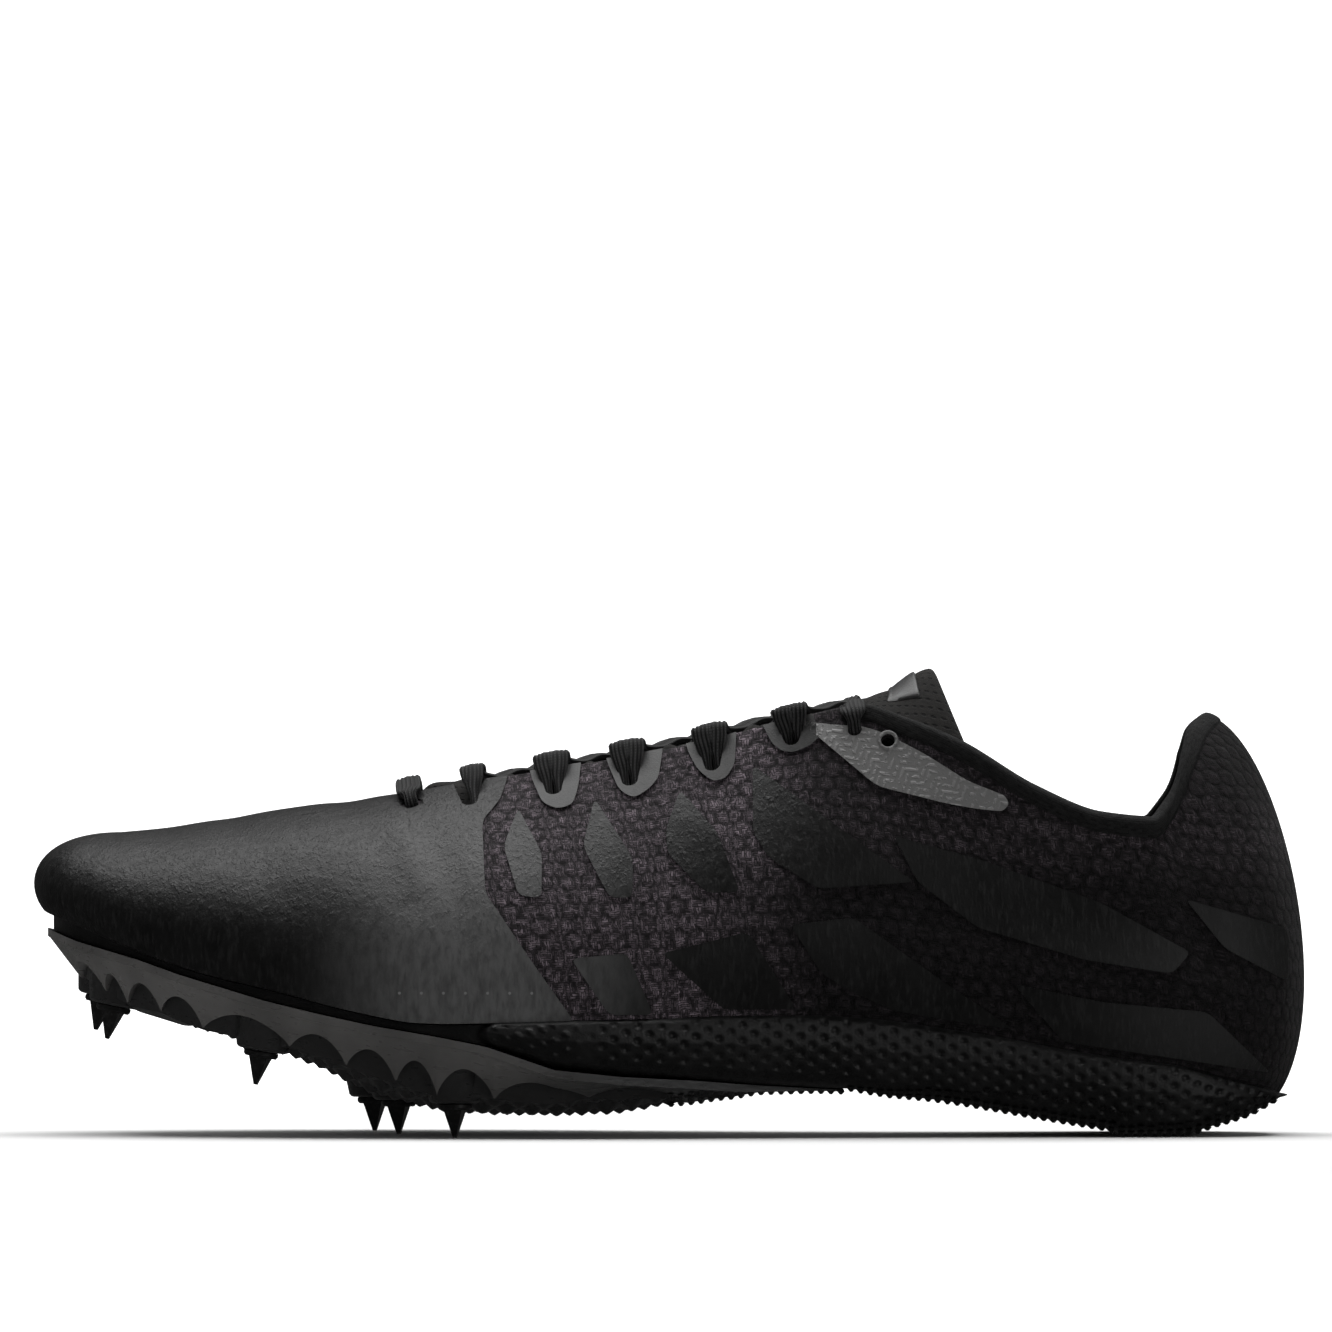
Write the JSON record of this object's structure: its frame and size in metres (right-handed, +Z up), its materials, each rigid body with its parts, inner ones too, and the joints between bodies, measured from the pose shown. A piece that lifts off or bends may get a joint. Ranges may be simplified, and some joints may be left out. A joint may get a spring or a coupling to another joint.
{
  "type": "track spike shoe",
  "caption": "Low-cut laced running spike: knitted upper with film overlays, foam heel unit and a scalloped plastic forefoot plate with screw-in pins",
  "frame": {"origin": "on the floor, in the middle of the flat spot under the heel", "axes": "+Z up, -X towards the toe, -Y towards the outer side of the foot"},
  "size_m": [0.2865, 0.096, 0.1049],
  "materials": {
    "knit": "black ribbed knit with a cell pattern",
    "tongue_mesh": "padded open mesh",
    "insole_cloth": "short nap cloth",
    "foam": "matte foam skin with moulded dimples",
    "plate_plastic": "satin moulded plastic",
    "lace_cord": "ribbed flat woven cord",
    "pin_metal": "black coated steel",
    "film": "satin heat-bonded film",
    "eyestay_film": "light grey film with a fine chevron relief"
  },
  "bodies": {
    "root": {"upper": "knit", "tongue": "tongue_mesh", "insole": "insole_cloth", "midsole": "foam", "spike_plate": "plate_plastic", "laces": "lace_cord", "pin_toe_medial": "pin_metal", "pin_toe_lateral": "pin_metal", "pin_fore_medial": "pin_metal", "pin_fore_lateral": "pin_metal", "pin_ball_medial": "pin_metal", "pin_ball_centre": "pin_metal", "pin_ball_lateral": "pin_metal", "film_toe": "film", "film_fin_1_lateral": "film", "film_fin_2_lateral": "film", "film_fin_3_lateral": "film", "film_fin_4_lateral": "film", "film_fin_5_lateral": "film", "film_low_1_lateral": "film", "film_low_2_lateral": "film", "film_low_3_lateral": "film", "film_heel_low_lateral": "film", "film_heel_high_lateral": "film", "film_fin_1_medial": "film", "film_fin_2_medial": "film", "film_fin_3_medial": "film", "film_fin_4_medial": "film", "film_fin_5_medial": "film", "film_low_1_medial": "film", "film_low_2_medial": "film", "film_low_3_medial": "film", "film_heel_low_medial": "film", "film_heel_high_medial": "film", "eyestay_lateral": "eyestay_film", "eyestay_medial": "eyestay_film"}
  },
  "joints": []
}
